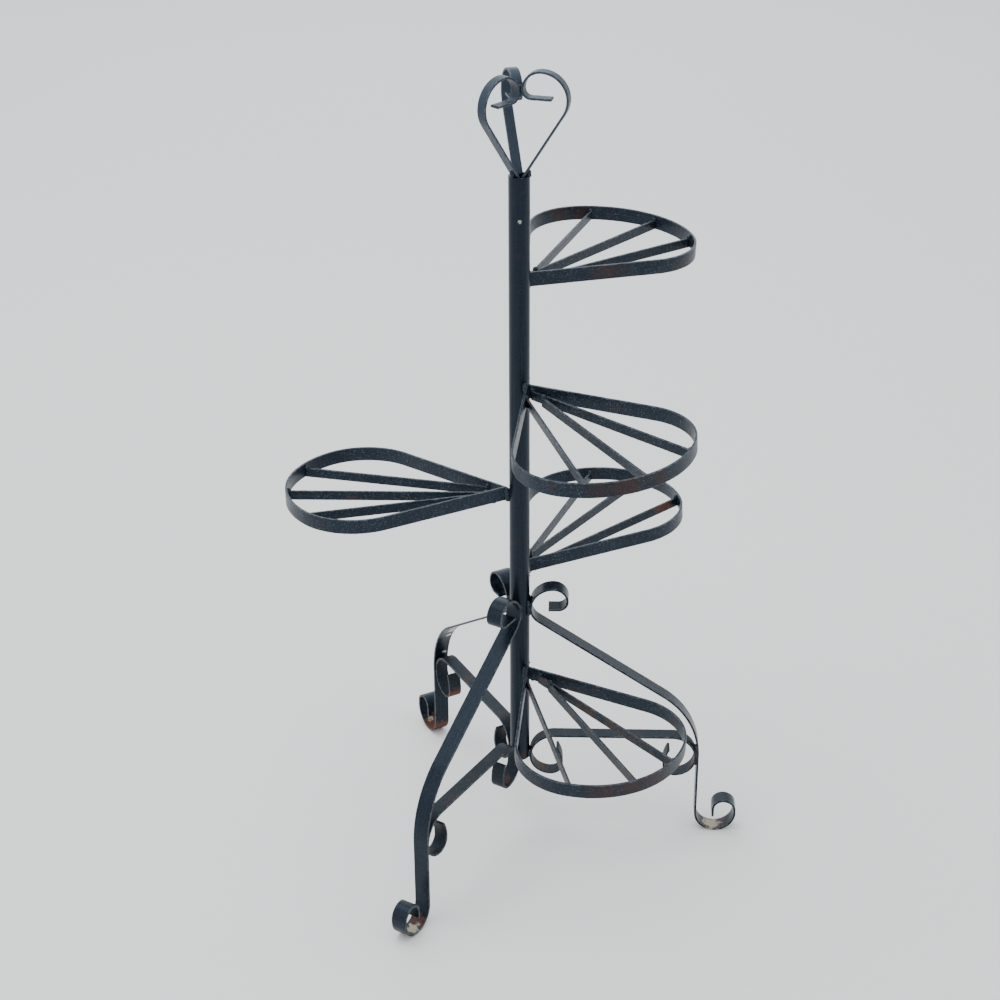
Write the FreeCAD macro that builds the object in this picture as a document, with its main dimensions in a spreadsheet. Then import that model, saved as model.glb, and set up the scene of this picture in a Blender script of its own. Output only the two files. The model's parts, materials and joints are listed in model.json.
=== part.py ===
"""A five-tier plant stand, welded up from a steel tube and bent flat bar.

The frame: +Z up, the tube's axis is the Z axis, and the floor is at Z = 0.
Bearings are turned from +X towards +Y, seen from above.
"""
import FreeCAD, Part
import math
import os

import Sketcher
from FreeCAD import Placement, Rotation, Vector

doc = FreeCAD.newDocument("PlantStand")

# ---------------------------------------------------------------- sizes

# Every size that can be set by itself, in millimetres and degrees.
SIZES = {
    # the standing tube, open at both ends
    "post_diameter": 26.7,
    "post_wall": 2.9,
    "post_bottom": 116,
    "post_top": 959,
    # the shelf hoops: flat bar on edge, bent to a rounded wedge
    "hoop_bar_width": 19.05,
    "hoop_bar_thickness": 3.2,
    "hoop_setback": 5.65,
    "hoop_reach": 304,
    "hoop_half_width": 113,
    "hoop_end_radius": 125,
    "hoop_corner_radius": 82,
    # the three spokes of a shelf: narrower flat bar on edge, fanning from near a point by the apex
    "spoke_bar_width": 12.7,
    "spoke_bar_thickness": 3.2,
    "spoke_focus_lead": 1,
    "spoke_root_bite": 0.8,
    "spoke_root_gap": 0.1,
    # the legs: wide flat bar in a plane through the tube's axis
    "leg_bar_width": 22.2,
    "leg_bar_thickness": 3.2,
    "leg_contact_height": 359,
    "leg_scroll_tip": 13,
    "leg_scroll_inner_radius": 12.5,
    "leg_scroll_outer_radius": 19,
    "leg_scroll_back_radius": 30,
    "leg_shoulder_radius": 24,
    "leg_slope": 34.5,
    "leg_knee_radius": 115,
    "leg_reach": 246,
    "foot_sole_radius": 27.5,
    "foot_rise": 4,
    "foot_top_radius": 16.3,
    "foot_inner_radius": 14,
    "foot_tail": 12,
    # the braces: a C-scroll between the tube's lower end and each leg
    "brace_bar_width": 19.05,
    "brace_bar_thickness": 3.2,
    "brace_height": 154,
    "brace_shoulder_radius": 33,
    "brace_bottom_radius": 28,
    "brace_return_radius": 15.5,
    "brace_tip_radius": 50,
    "brace_tip_turn": 30,
    # the finial: three heart-shaped straps standing in the tube's mouth
    "finial_bar_width": 12.7,
    "finial_bar_thickness": 3.2,
    "finial_tuck": 1.5,
    "finial_crown_radius": 22.3,
    "finial_inner_radius": 10.1,
    "finial_crown_gap": 0.5,
    "finial_lip": 25,
    # the weld beads and blobs
    "bead_radius": 3.2,
    "bead_length": 18,
    "bead_inset": 2.56,
    "apex_bead_radius": 4.5,
    "apex_bead_drop": 0.3,
    "root_blob_radius": 3.8,
    "brace_bead_radius": 2.56,
    "brace_bead_rise": 4.5,
    "brace_bead_spacing": 21.6,
    "rim_bead_rise": 4,
    # how far a bar stands off a curved seat that it bears on
    "seat_clearance": 0.05,
}

# The shelves from the top down: the hoop's upper edge where it would cross the tube's axis, the way
# it points, and how far it was welded off level (up at the far end, up on its left). Each spoke has
# the way it points from the hoop's own middle line, and how far to the left of the fan's point it
# passes. The last size is how much further from its neighbour a middle spoke was cut short.
SHELVES = (
    {"height": 829, "bearing": 54.6, "rise": -1.9, "cant": 1.5,
     "left_turn": 16.5, "left_shift": 0.7, "middle_turn": -3.0, "middle_shift": 7.3,
     "right_turn": -16.2, "right_shift": -4.9, "middle_cut": 0},
    {"height": 691, "bearing": -61.3, "rise": 0.4, "cant": 3.0,
     "left_turn": 17.7, "left_shift": -0.8, "middle_turn": 0.3, "middle_shift": 3.7,
     "right_turn": -12.5, "right_shift": -7.4, "middle_cut": 9},
    {"height": 537, "bearing": 175.5, "rise": -0.4, "cant": 2.7,
     "left_turn": 18.8, "left_shift": -0.3, "middle_turn": 2.9, "middle_shift": 3.7,
     "right_turn": -9.6, "right_shift": -8.7, "middle_cut": 0},
    {"height": 420, "bearing": 56.1, "rise": 1.6, "cant": -2.8,
     "left_turn": 12.3, "left_shift": 10.0, "middle_turn": -2.8, "middle_shift": 13.9,
     "right_turn": -17.2, "right_shift": -2.0, "middle_cut": 0},
    {"height": 273, "bearing": -60.2, "rise": -1.2, "cant": -0.4,
     "left_turn": 11.9, "left_shift": 4.8, "middle_turn": -3.3, "middle_shift": 13.0,
     "right_turn": -17.0, "right_shift": -4.3, "middle_cut": 0},
)
LEG_BEARINGS = {"right": -1.5, "back_left": 118.5, "front_left": -121.5}
# Two of the legs were welded on a little lower, and one has a longer end rolled into its head.
LEG_HEADS = {
    "right": {"lower_by": 0, "longer_by": 0},
    "back_left": {"lower_by": 2, "longer_by": 0},
    "front_left": {"lower_by": 2.5, "longer_by": 11},
}
# The finial's straps were bent by hand: each has its own slope and roundness, and so its own height.
FINIAL_STRAPS = {
    "right": {"bearing": -15, "slope": 58.2, "outer_radius": 32.4},
    "back": {"bearing": 105, "slope": 55.6, "outer_radius": 32.4},
    "front_left": {"bearing": -135, "slope": 56.2, "outer_radius": 33.2},
}

sheet = doc.addObject("Spreadsheet::Sheet", "Sizes")


def write_sizes(sizes):
    """Put each size in a row of the sheet, under its own name."""
    first_free = len(sheet.getUsedCells()) // 2 + 1
    for row, (name, value) in enumerate(sizes.items(), first_free):
        sheet.set(f"A{row}", name)
        sheet.set(f"B{row}", str(value))
        sheet.setAlias(f"B{row}", name)


write_sizes(SIZES)
for number, shelf in enumerate(SHELVES, 1):
    write_sizes({f"shelf_{number}_{key}": value for key, value in shelf.items()})
for name, head in LEG_HEADS.items():
    write_sizes({f"leg_{name}_{key}": value for key, value in head.items()})
for name, strap in FINIAL_STRAPS.items():
    write_sizes({f"finial_{name}_{key}": value for key, value in strap.items()})
doc.recompute()


def size(name):
    return float(sheet.get(name))


def sheet_value(expression):
    """What an expression on the sheet's sizes comes to."""
    return sheet.evalExpression(expression.replace("Sizes.", ""))


# ---------------------------------------------------------------- sketching and bending

def origin_plane(body, role):
    for feature in body.Origin.OriginFeatures:
        if feature.Role == role:
            return feature
    raise RuntimeError(f"{body.Label} has no {role}")


def new_body(label):
    body = doc.addObject("PartDesign::Body", label)
    body.Label = label
    return body


def new_sketch(body, name, role):
    sketch = body.newObject("Sketcher::SketchObject", name)
    sketch.AttachmentSupport = [(origin_plane(body, role), "")]
    sketch.MapMode = "FlatFace"
    return sketch


def constrain(sketch, kind, *where, to=None):
    """Add a constraint; `to` is an expression on the sheet that drives its value."""
    index = sketch.addConstraint(Sketcher.Constraint(kind, *where))
    if to is not None:
        sketch.setExpression(f"Constraints[{index}]", to)
    return index


def solve(sketch):
    if sketch.solve() != 0:
        raise RuntimeError(f"{sketch.Label} has constraints that disagree")


def heading_vector(degrees):
    return Vector(math.cos(math.radians(degrees)), math.sin(math.radians(degrees)), 0)


class BendLine:
    """The centre line of a bent bar, drawn in a sketch in the order in which it is bent.

    Each stretch leaves the last one at a tangent. `straight` and `bend` return the stretch's
    index and which of its ends come first and last, for the constraints that place it.
    """

    def __init__(self, sketch, start, heading):
        self.sketch = sketch
        self.point = start
        self.heading = heading
        self.last = None

    def join(self, index, first, last):
        if self.last is not None:
            constrain(self.sketch, "Tangent", self.last[0], self.last[1], index, first)
        self.last = (index, last)
        return index, first, last

    def straight(self, length, to=None):
        end = self.point + heading_vector(self.heading) * length
        index = self.sketch.addGeometry(Part.LineSegment(self.point, end), False)
        if to is not None:
            constrain(self.sketch, "Distance", index, length, to=to)
        self.point = end
        return self.join(index, 1, 2)

    def bend(self, radius_name, turn, turn_to=None):
        """Turn left by `turn` degrees, or right if it is negative."""
        radius = size(radius_name)
        side = 1 if turn > 0 else -1
        centre = self.point + heading_vector(self.heading + 90) * (radius * side)
        end_heading = self.heading + turn
        start_angle = math.radians(self.heading - 90 * side)
        end_angle = math.radians(end_heading - 90 * side)
        circle = Part.Circle(centre, Vector(0, 0, 1), radius)
        arc = Part.ArcOfCircle(circle, min(start_angle, end_angle), max(start_angle, end_angle))
        index = self.sketch.addGeometry(arc, False)
        constrain(self.sketch, "Radius", index, radius, to=f"Sizes.{radius_name}")
        angle = math.radians(abs(turn))
        constrain(self.sketch, "Angle", index, angle, to=turn_to)
        self.point = centre + heading_vector(end_heading - 90 * side) * radius
        self.heading = end_heading
        return self.join(index, 1, 2) if side > 0 else self.join(index, 2, 1)


def bar_section(body, name, across, along, bar):
    """The bar's cross-section at the start of a centre line that sets off level.

    `across` and `along` are the start's height and distance along X, as values and expressions.
    """
    sketch = new_sketch(body, name, "YZ_Plane")
    sketch.AttachmentOffset = Placement(Vector(0, 0, along[0]), Rotation())
    sketch.setExpression("AttachmentOffset.Base.z", along[1])
    half_width = size(f"{bar}_bar_width") / 2
    half_thickness = size(f"{bar}_bar_thickness") / 2
    low = across[0] - half_thickness
    high = across[0] + half_thickness
    corners = (Vector(-half_width, low, 0), Vector(half_width, low, 0),
               Vector(half_width, high, 0), Vector(-half_width, high, 0))
    for index, corner in enumerate(corners):
        sketch.addGeometry(Part.LineSegment(corner, corners[(index + 1) % 4]), False)
    for index in range(4):
        constrain(sketch, "Coincident", index, 2, (index + 1) % 4, 1)
    for index in (0, 2):
        constrain(sketch, "Horizontal", index)
    for index in (1, 3):
        constrain(sketch, "Vertical", index)
    constrain(sketch, "DistanceX", -1, 1, 1, 1, half_width, to=f"Sizes.{bar}_bar_width / 2")
    constrain(sketch, "Distance", 0, 2 * half_width, to=f"Sizes.{bar}_bar_width")
    constrain(sketch, "Distance", 1, 2 * half_thickness, to=f"Sizes.{bar}_bar_thickness")
    constrain(sketch, "DistanceY", -1, 1, 1, 1, low, to=f"({across[1]}) - Sizes.{bar}_bar_thickness / 2")
    solve(sketch)
    return sketch


def bent_bar(body, section, line):
    pipe = body.newObject("PartDesign::AdditivePipe", "BentBar")
    pipe.Profile = section
    pipe.Spine = (line, [])
    pipe.Mode = "Frenet"
    return pipe


def turned(bearing):
    return Placement(Vector(0, 0, 0), Rotation(Vector(0, 0, 1), bearing))


nodes = []


# ---------------------------------------------------------------- the post

def make_post():
    """The steel tube that carries everything, open at both ends and clear of the floor."""
    body = new_body("post")
    sketch = new_sketch(body, "PostRing", "XY_Plane")
    outer = size("post_diameter") / 2
    inner = outer - size("post_wall")
    for radius, to in ((outer, "Sizes.post_diameter / 2"),
                       (inner, "Sizes.post_diameter / 2 - Sizes.post_wall")):
        index = sketch.addGeometry(Part.Circle(Vector(0, 0, 0), Vector(0, 0, 1), radius), False)
        constrain(sketch, "Coincident", index, 3, -1, 1)
        constrain(sketch, "Radius", index, radius, to=to)
    solve(sketch)
    pad = body.newObject("PartDesign::Pad", "PostTube")
    pad.Profile = sketch
    pad.setExpression("Length", "Sizes.post_top - Sizes.post_bottom")
    body.setExpression("Placement.Base.z", "Sizes.post_bottom")
    nodes.append(body)
    return body


post = make_post()


# ---------------------------------------------------------------- the shelves

# The hoop's arms would meet here, just clear of the tube.
HOOP_APEX = "(Sizes.post_diameter / 2 + Sizes.hoop_setback)"


def hoop_apex():
    return sheet_value(HOOP_APEX)


def hoop_bends():
    """Where the left corner bend is centred, how far round the end bend it starts, and the angle at
    which the arms leave the apex, for the hoop's centre line seen from above."""
    end_radius = size("hoop_end_radius")
    corner_radius = size("hoop_corner_radius")
    corner_height = size("hoop_half_width") - corner_radius
    corner_turn = math.asin(corner_height / (end_radius - corner_radius))
    corner_centre = (Vector(size("hoop_reach") - end_radius, 0, 0)
                     + heading_vector(math.degrees(corner_turn)) * (end_radius - corner_radius))
    sight = corner_centre - Vector(hoop_apex(), 0, 0)
    arm_angle = math.atan2(sight.y, sight.x) + math.asin(corner_radius / sight.Length)
    return corner_centre, corner_turn, arm_angle


def hoop_outline(body, name, side):
    """One face of the hoop's bar, seen from above: the outer (side 1) or the inner (side -1).

    Two straight arms leave a point near the tube, and run at a tangent into two corner bends that
    an end bend joins. The bar's centre line is the same shape half a thickness away.
    """
    sketch = new_sketch(body, name, "XY_Plane")
    offset = side * size("hoop_bar_thickness") / 2
    offset_to = f"{side} * Sizes.hoop_bar_thickness / 2"
    end_radius = size("hoop_end_radius")
    corner_radius = size("hoop_corner_radius")
    end_centre = Vector(size("hoop_reach") - end_radius, 0, 0)
    apex = Vector(hoop_apex(), 0, 0)
    corner_centre, corner_turn, arm_angle = hoop_bends()
    arm_normal = heading_vector(math.degrees(arm_angle) + 90)
    arm_end = corner_centre + arm_normal * (corner_radius + offset)
    tip = Vector(apex.x - offset / math.sin(arm_angle), 0, 0)
    mirrored = Vector(corner_centre.x, -corner_centre.y, 0)
    up = Vector(0, 0, 1)
    upper = sketch.addGeometry(Part.LineSegment(tip, arm_end), False)
    corner_arc = Part.Circle(corner_centre, up, corner_radius + offset)
    upper_corner = sketch.addGeometry(
        Part.ArcOfCircle(corner_arc, corner_turn, arm_angle + math.pi / 2), False)
    end_arc = Part.Circle(end_centre, up, end_radius + offset)
    end = sketch.addGeometry(Part.ArcOfCircle(end_arc, -corner_turn, corner_turn), False)
    lower_arc = Part.Circle(mirrored, up, corner_radius + offset)
    lower_corner = sketch.addGeometry(
        Part.ArcOfCircle(lower_arc, -arm_angle - math.pi / 2, -corner_turn), False)
    lower = sketch.addGeometry(Part.LineSegment(Vector(arm_end.x, -arm_end.y, 0), tip), False)
    fold = sketch.addGeometry(Part.Point(apex), True)
    constrain(sketch, "Tangent", upper, 2, upper_corner, 2)
    constrain(sketch, "Tangent", upper_corner, 1, end, 2)
    constrain(sketch, "Tangent", end, 1, lower_corner, 2)
    constrain(sketch, "Tangent", lower_corner, 1, lower, 1)
    constrain(sketch, "Coincident", lower, 2, upper, 1)
    constrain(sketch, "PointOnObject", upper, 1, -1)
    constrain(sketch, "PointOnObject", end, 3, -1)
    constrain(sketch, "Vertical", upper_corner, 3, lower_corner, 3)
    constrain(sketch, "Equal", upper_corner, lower_corner)
    constrain(sketch, "Radius", upper_corner, corner_radius + offset,
              to=f"Sizes.hoop_corner_radius + {offset_to}")
    constrain(sketch, "Radius", end, end_radius + offset, to=f"Sizes.hoop_end_radius + {offset_to}")
    constrain(sketch, "DistanceX", -1, 1, end, 3, end_centre.x,
              to="Sizes.hoop_reach - Sizes.hoop_end_radius")
    constrain(sketch, "DistanceY", -1, 1, upper_corner, 3, corner_centre.y,
              to="Sizes.hoop_half_width - Sizes.hoop_corner_radius")
    constrain(sketch, "PointOnObject", fold, 1, -1)
    constrain(sketch, "DistanceX", -1, 1, fold, 1, apex.x, to=HOOP_APEX)
    constrain(sketch, "Distance", fold, 1, upper, abs(offset), to="Sizes.hoop_bar_thickness / 2")
    solve(sketch)
    return sketch


def shelf_placement(number):
    """Where a shelf stands: its own X axis runs out from the tube, its Z = 0 is the hoop's upper edge."""
    bearing = Rotation(Vector(0, 0, 1), size(f"shelf_{number}_bearing"))
    rise = Rotation(Vector(0, 1, 0), -size(f"shelf_{number}_rise"))
    cant = Rotation(Vector(1, 0, 0), size(f"shelf_{number}_cant"))
    return Placement(Vector(0, 0, size(f"shelf_{number}_height")), bearing * rise * cant)


def pad_down(body, sketch, name):
    pad = body.newObject("PartDesign::Pad", name)
    pad.Profile = sketch
    pad.Reversed = True
    pad.setExpression("Length", "Sizes.hoop_bar_width")
    return pad


def make_hoop(number):
    body = new_body(f"shelf_{number}_hoop")
    pad_down(body, hoop_outline(body, f"HoopOuter{number}", 1), "HoopBlank")
    pocket = body.newObject("PartDesign::Pocket", "HoopInside")
    pocket.Profile = hoop_outline(body, f"HoopInner{number}", -1)
    pocket.setExpression("Length", "Sizes.hoop_bar_width")
    body.Placement = shelf_placement(number)
    nodes.append(body)
    return body


def make_hoop_inside(number):
    """The space that a hoop encloses, which its spokes are cut to. It isn't a piece of the stand."""
    body = new_body(f"shelf_{number}_inside")
    pad_down(body, hoop_outline(body, f"Inside{number}", -1), "Inside")
    body.Placement = shelf_placement(number)
    return body


def spoke_focus():
    """How far from the tube's axis the point lies that a shelf's spokes fan out from."""
    return hoop_apex() - size("spoke_focus_lead")


def spoke_line(number, side):
    """Where a spoke's middle plane passes the fan's point, and the way it points, in the shelf's plane."""
    beside = Vector(spoke_focus(), size(f"shelf_{number}_{side}_shift"), 0)
    return beside, heading_vector(size(f"shelf_{number}_{side}_turn"))


def side_spoke_start(number, side):
    """How far along its line a side spoke's outer corner meets the inner face of the hoop's arm."""
    hand = 1 if side == "left" else -1
    arm_angle = hoop_bends()[2]
    away = arm_angle - hand * math.radians(size(f"shelf_{number}_{side}_turn"))
    inner_tip = hoop_apex() + size("hoop_bar_thickness") / 2 / math.sin(arm_angle)
    aside = ((inner_tip - spoke_focus()) * math.sin(arm_angle)
             + size("spoke_bar_thickness") / 2 * math.cos(away)
             + hand * size(f"shelf_{number}_{side}_shift") * math.cos(arm_angle))
    return aside / math.sin(away) - size("spoke_root_bite")


def middle_spoke_start(number):
    """How far along its line a middle spoke's corner is clear of the left spoke, where it is tacked."""
    turn = math.radians(size(f"shelf_{number}_left_turn"))
    between = turn - math.radians(size(f"shelf_{number}_middle_turn"))
    behind = size(f"shelf_{number}_middle_shift") - size(f"shelf_{number}_left_shift")
    half = size("spoke_bar_thickness") / 2
    aside = behind * math.cos(turn) + half * math.cos(between) + half + size("spoke_root_gap")
    return aside / math.sin(between) + size(f"shelf_{number}_middle_cut")


def spoke_start(number, side):
    return middle_spoke_start(number) if side == "middle" else side_spoke_start(number, side)


def make_spoke(number, side, inside):
    """A spoke on edge, its lower edge level with the hoop's, cut to meet the hoop's inner face."""
    bar = doc.addObject("Part::Box", f"SpokeBar{number}{side}")
    bar.setExpression("Height", "Sizes.spoke_bar_width")
    bar.setExpression("Width", "Sizes.spoke_bar_thickness")
    bar.setExpression("Length", "Sizes.hoop_reach")
    beside, along = spoke_line(number, side)
    turn = Rotation(Vector(0, 0, 1), size(f"shelf_{number}_{side}_turn"))
    root = beside + along * spoke_start(number, side) - Vector(0, 0, size("hoop_bar_width"))
    corner = root + turn.multVec(Vector(0, -size("spoke_bar_thickness") / 2, 0))
    bar.Placement = shelf_placement(number) * Placement(corner, turn)
    spoke = doc.addObject("Part::Common", f"shelf_{number}_spoke_{side}")
    spoke.Base = bar
    spoke.Tool = inside
    nodes.append(spoke)
    return spoke


def make_shelf(number):
    hoop = make_hoop(number)
    inside = make_hoop_inside(number)
    spokes = [make_spoke(number, side, inside) for side in ("left", "middle", "right")]
    return hoop, spokes


shelves = {number: make_shelf(number) for number in range(1, len(SHELVES) + 1)}


# ---------------------------------------------------------------- the legs

def leg_contact(name):
    """The height at which a leg bears on the tube."""
    return f"(Sizes.leg_contact_height - Sizes.leg_{name}_lower_by)"


def make_leg(name, bearing):
    """A leg: a scroll at the head, a shoulder against the tube, a straight run down, a knee, and a
    shank that ends in the scroll it stands on. It is drawn from the head's free end."""
    body = new_body(f"leg_{name}")
    thickness = size("leg_bar_thickness")
    seat = size("post_diameter") / 2 + thickness / 2
    seat_to = "Sizes.post_diameter / 2 + Sizes.leg_bar_thickness / 2"
    back = size("leg_scroll_back_radius")
    outer = size("leg_scroll_outer_radius")
    inner = size("leg_scroll_inner_radius")
    contact = sheet_value(leg_contact(name))
    tip_length_to = f"(Sizes.leg_scroll_tip + Sizes.leg_{name}_longer_by)"
    tip_length = sheet_value(tip_length_to)
    start = Vector(seat + back + outer - inner - tip_length, contact + back - outer - inner, 0)
    start_x_to = (f"{seat_to} + Sizes.leg_scroll_back_radius + Sizes.leg_scroll_outer_radius"
                  f" - Sizes.leg_scroll_inner_radius - {tip_length_to}")
    start_z_to = (f"{leg_contact(name)} + Sizes.leg_scroll_back_radius"
                  " - Sizes.leg_scroll_outer_radius - Sizes.leg_scroll_inner_radius")
    swing = 90 - size("leg_slope")
    swing_to = "90 deg - Sizes.leg_slope * 1 deg"
    shoulder_drop = size("leg_shoulder_radius") * math.sin(math.radians(swing))
    shoulder_out = size("leg_shoulder_radius") * (1 - math.cos(math.radians(swing)))
    knee_drop = size("leg_knee_radius") * math.sin(math.radians(swing))
    knee_out = size("leg_knee_radius") * (1 - math.cos(math.radians(swing)))
    run_out = size("leg_reach") - knee_out - seat - shoulder_out
    run = run_out / math.cos(math.radians(size("leg_slope")))
    run_drop = run_out * math.tan(math.radians(size("leg_slope")))
    knee_foot = contact - shoulder_drop - run_drop - knee_drop
    shank = knee_foot - thickness / 2 - size("foot_sole_radius")

    sketch = new_sketch(body, "LegLine", "XZ_Plane")
    line = BendLine(sketch, start, 0)
    tip = line.straight(tip_length, to=tip_length_to)
    line.bend("leg_scroll_inner_radius", 90)
    line.bend("leg_scroll_outer_radius", 90)
    line.bend("leg_scroll_back_radius", 90)
    line.bend("leg_shoulder_radius", swing, turn_to=swing_to)
    line.straight(run)
    line.bend("leg_knee_radius", -swing, turn_to=swing_to)
    shank_line = line.straight(shank)
    sole = line.bend("foot_sole_radius", 180)
    line.straight(size("foot_rise"), to="Sizes.foot_rise")
    line.bend("foot_top_radius", 90)
    line.bend("foot_inner_radius", 90)
    line.straight(size("foot_tail"), to="Sizes.foot_tail")
    constrain(sketch, "Horizontal", tip[0])
    constrain(sketch, "DistanceX", -1, 1, tip[0], 1, start.x, to=start_x_to)
    constrain(sketch, "DistanceY", -1, 1, tip[0], 1, start.y, to=start_z_to)
    constrain(sketch, "DistanceX", -1, 1, shank_line[0], 1, size("leg_reach"), to="Sizes.leg_reach")
    constrain(sketch, "DistanceY", -1, 1, sole[0], 3, thickness / 2 + size("foot_sole_radius"),
              to="Sizes.leg_bar_thickness / 2 + Sizes.foot_sole_radius")
    solve(sketch)

    section = bar_section(body, "LegSection", (start.y, start_z_to), (start.x, start_x_to), "leg")
    bent_bar(body, section, sketch)
    body.Placement = turned(bearing)
    nodes.append(body)
    return body


legs = {name: make_leg(name, bearing) for name, bearing in LEG_BEARINGS.items()}


# ---------------------------------------------------------------- the braces

def make_brace(name, bearing):
    """A C-scroll: a level bar whose ends curl down and inwards, between the tube and a leg.

    One half is bent from the middle, and the other is its mirror image.
    """
    body = new_body(f"brace_{name}")
    thickness = size("brace_bar_thickness")
    inner_seat = size("post_diameter") / 2
    outer_seat = size("leg_reach") - size("leg_bar_thickness") / 2
    half = (outer_seat - inner_seat) / 2 - thickness / 2 - size("brace_shoulder_radius")
    half_to = ("(Sizes.leg_reach - Sizes.leg_bar_thickness / 2 - Sizes.post_diameter / 2) / 2"
               " - Sizes.brace_bar_thickness / 2 - Sizes.brace_shoulder_radius")
    turn_to = "Sizes.brace_tip_turn * 1 deg"
    sketch = new_sketch(body, "BraceLine", "XZ_Plane")
    line = BendLine(sketch, Vector(0, 0, 0), 180)
    top = line.straight(half, to=half_to)
    line.bend("brace_shoulder_radius", 90)
    line.bend("brace_bottom_radius", 90)
    line.bend("brace_return_radius", 90)
    line.bend("brace_tip_radius", size("brace_tip_turn"), turn_to=turn_to)
    constrain(sketch, "Horizontal", top[0])
    constrain(sketch, "Coincident", top[0], 1, -1, 1)
    solve(sketch)
    section = bar_section(body, "BraceSection", (0, "0"), (0, "0"), "brace")
    half_bar = bent_bar(body, section, sketch)
    mirror = body.newObject("PartDesign::Mirrored", "OtherHalf")
    mirror.Originals = [half_bar]
    mirror.MirrorPlane = (origin_plane(body, "YZ_Plane"), [""])
    body.Tip = mirror
    middle = Vector((inner_seat + outer_seat) / 2, 0, size("brace_height"))
    body.Placement = turned(bearing) * Placement(middle, Rotation())
    nodes.append(body)
    return body


braces = {name: make_brace(name, bearing) for name, bearing in LEG_BEARINGS.items()}


# ---------------------------------------------------------------- the finial

# How near the axis a strap's centre line comes at the crown, where the three straps' edges would
# otherwise meet.
FINIAL_CROWN_OFFSET = ("((Sizes.finial_bar_width / 2 + Sizes.finial_crown_gap) / tan(60 deg)"
                       " + Sizes.finial_bar_thickness / 2)")


def strap_seat(name):
    """Where a strap's centre line crosses the level of the tube's rim, as an expression: its outer
    face leans on the rim of the bore with both its edges."""
    return ("(sqrt((Sizes.post_diameter / 2 - Sizes.post_wall)^2 - (Sizes.finial_bar_width / 2)^2)"
            " - Sizes.seat_clearance"
            f" - Sizes.finial_bar_thickness / 2 / sin(Sizes.finial_{name}_slope * 1 deg))")


def strap_run_end(name):
    """How far out a strap's straight run ends and its outer bend starts, as an expression."""
    return (f"({FINIAL_CROWN_OFFSET} + Sizes.finial_crown_radius"
            f" + Sizes.finial_{name}_outer_radius * sin(Sizes.finial_{name}_slope * 1 deg))")


def strap_crown(name):
    """The height at which a strap comes nearest the axis, as an expression."""
    slope = f"(Sizes.finial_{name}_slope * 1 deg)"
    return (f"(Sizes.post_top + ({strap_run_end(name)} - {strap_seat(name)}) * tan{slope}"
            f" + Sizes.finial_{name}_outer_radius * (1 + cos{slope}) - Sizes.finial_crown_radius)")


def make_finial_strap(name):
    """Half a heart: out and up from the tube's mouth, over the top, down to the crown where the
    three straps are welded together, and out again in a short lip. It is drawn from the lip."""
    body = new_body(f"finial_strap_{name}")
    slope = size(f"finial_{name}_slope")
    outer = f"finial_{name}_outer_radius"
    start = Vector(sheet_value(FINIAL_CROWN_OFFSET) + size("finial_inner_radius") + size("finial_lip"),
                   sheet_value(strap_crown(name)) - size("finial_inner_radius"), 0)
    start_x_to = f"{FINIAL_CROWN_OFFSET} + Sizes.finial_inner_radius + Sizes.finial_lip"
    start_z_to = f"{strap_crown(name)} - Sizes.finial_inner_radius"
    swing_to = f"90 deg - Sizes.finial_{name}_slope * 1 deg"
    run_out = sheet_value(strap_run_end(name)) - sheet_value(strap_seat(name))
    run = run_out / math.cos(math.radians(slope)) + size("finial_tuck")
    sketch = new_sketch(body, "StrapLine", "XZ_Plane")
    line = BendLine(sketch, start, 180)
    lip = line.straight(size("finial_lip"), to="Sizes.finial_lip")
    line.bend("finial_inner_radius", -90)
    line.bend("finial_crown_radius", -90)
    line.bend(outer, -90)
    line.bend(outer, slope - 90, turn_to=swing_to)
    run_line = line.straight(run)
    foot_drop = size("finial_tuck") * math.sin(math.radians(slope))
    constrain(sketch, "Horizontal", lip[0])
    constrain(sketch, "DistanceX", -1, 1, lip[0], 1, start.x, to=start_x_to)
    constrain(sketch, "DistanceY", -1, 1, lip[0], 1, start.y, to=start_z_to)
    constrain(sketch, "DistanceY", -1, 1, run_line[0], 2, size("post_top") - foot_drop,
              to=f"Sizes.post_top - Sizes.finial_tuck * sin(Sizes.finial_{name}_slope * 1 deg)")
    solve(sketch)
    section = bar_section(body, "StrapSection", (start.y, start_z_to), (start.x, start_x_to), "finial")
    bent_bar(body, section, sketch)
    body.Placement = turned(size(f"finial_{name}_bearing"))
    nodes.append(body)
    return body


finial_straps = {name: make_finial_strap(name) for name in FINIAL_STRAPS}
doc.recompute()


# ---------------------------------------------------------------- the weld beads

def bead(start, end, radius):
    """A weld bead: a round-ended roll of filler metal from start to end."""
    length = (end - start).Length
    slant = radius * math.sqrt(0.5)
    bottom = Vector(0, 0, -radius)
    lower = Vector(radius, 0, 0)
    upper = Vector(radius, 0, length)
    top = Vector(0, 0, length + radius)
    edges = [Part.Arc(bottom, Vector(slant, 0, -slant), lower).toShape()]
    if length > 0:
        edges.append(Part.LineSegment(lower, upper).toShape())
    edges.append(Part.Arc(upper, Vector(slant, 0, length + slant), top).toShape())
    edges.append(Part.LineSegment(top, bottom).toShape())
    roll = Part.Face(Part.Wire(edges)).revolve(Vector(0, 0, 0), Vector(0, 0, 1), 360)
    if length > 0:
        roll.Placement = Placement(start, Rotation(Vector(0, 0, 1), end - start))
    else:
        roll.Placement = Placement(start, Rotation())
    return roll


def make_welds(label, beads, neighbours):
    """A group of beads, each cut back to the faces of the pieces it joins and of the beads before it."""
    filler = []
    for roll in beads:
        for shape in [neighbour.Shape for neighbour in neighbours] + filler:
            if roll.BoundBox.intersect(shape.BoundBox):
                roll = roll.cut(shape)
        filler.append(max(roll.Solids, key=lambda solid: solid.Volume))
    node = doc.addObject("Part::Feature", label)
    node.Shape = filler[0] if len(filler) == 1 else Part.makeCompound(filler)
    nodes.append(node)


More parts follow.
